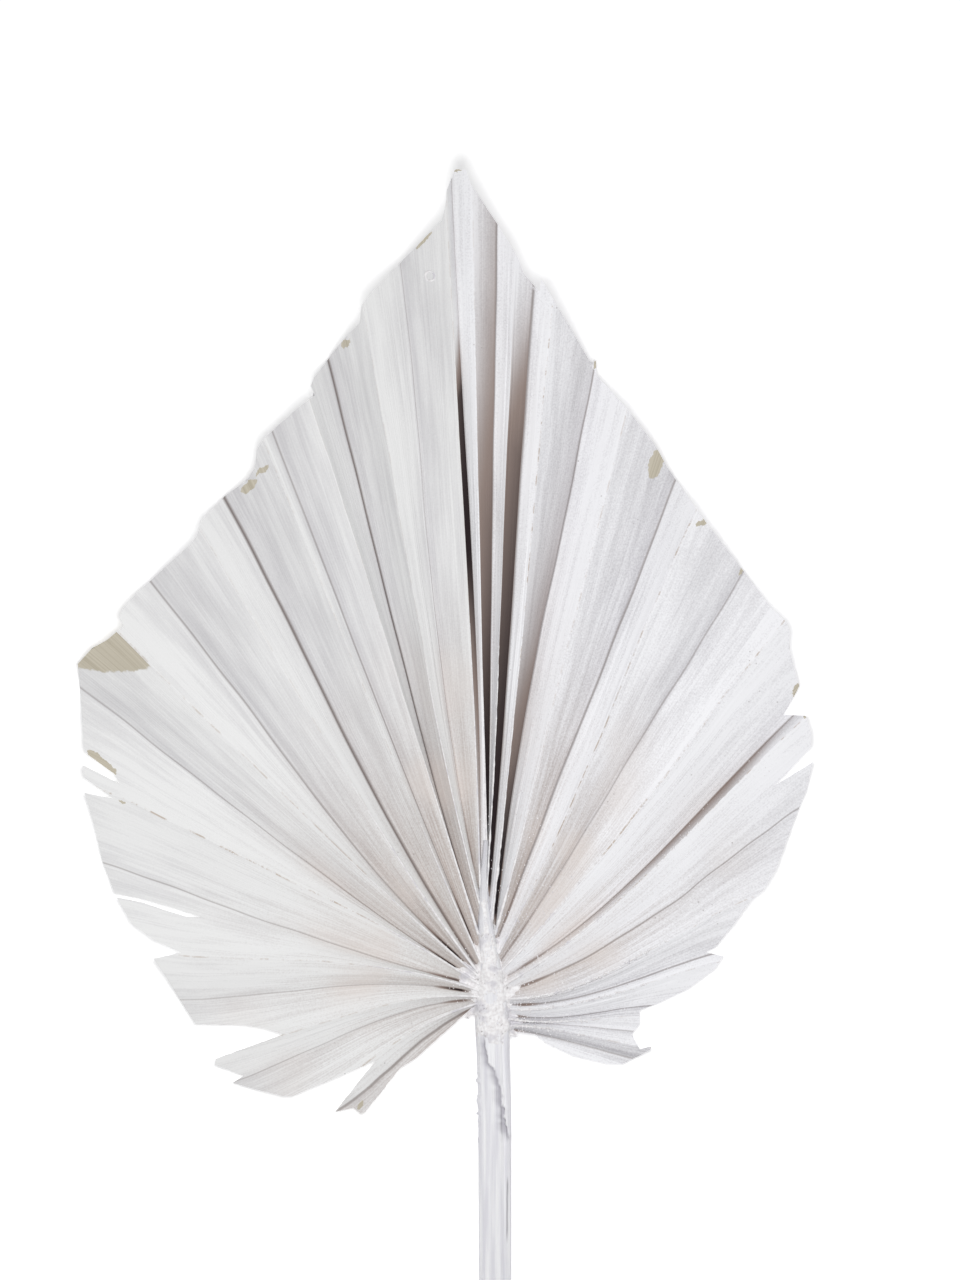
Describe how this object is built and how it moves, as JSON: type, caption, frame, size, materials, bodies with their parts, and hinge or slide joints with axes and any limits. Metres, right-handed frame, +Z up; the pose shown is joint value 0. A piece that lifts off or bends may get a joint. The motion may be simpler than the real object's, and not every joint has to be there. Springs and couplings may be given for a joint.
{
  "type": "dried palm spear",
  "caption": "Dried fan palm leaf trimmed to a pointed spear, pleated from a hub, with torn lobes at its base and a long grooved stalk, painted matte white; for dried arrangements.",
  "frame": {"origin": "middle of the bounding box, on the surface that the leaf lies on", "axes": "+Y from the stalk's cut end to the leaf's tip, +Z up, out of the leaf's front face"},
  "size_m": [0.1622, 0.447, 0.0144],
  "materials": {
    "painted_leaf": "matte"
  },
  "bodies": {
    "root": {"palm_spear": "painted_leaf"}
  },
  "joints": []
}
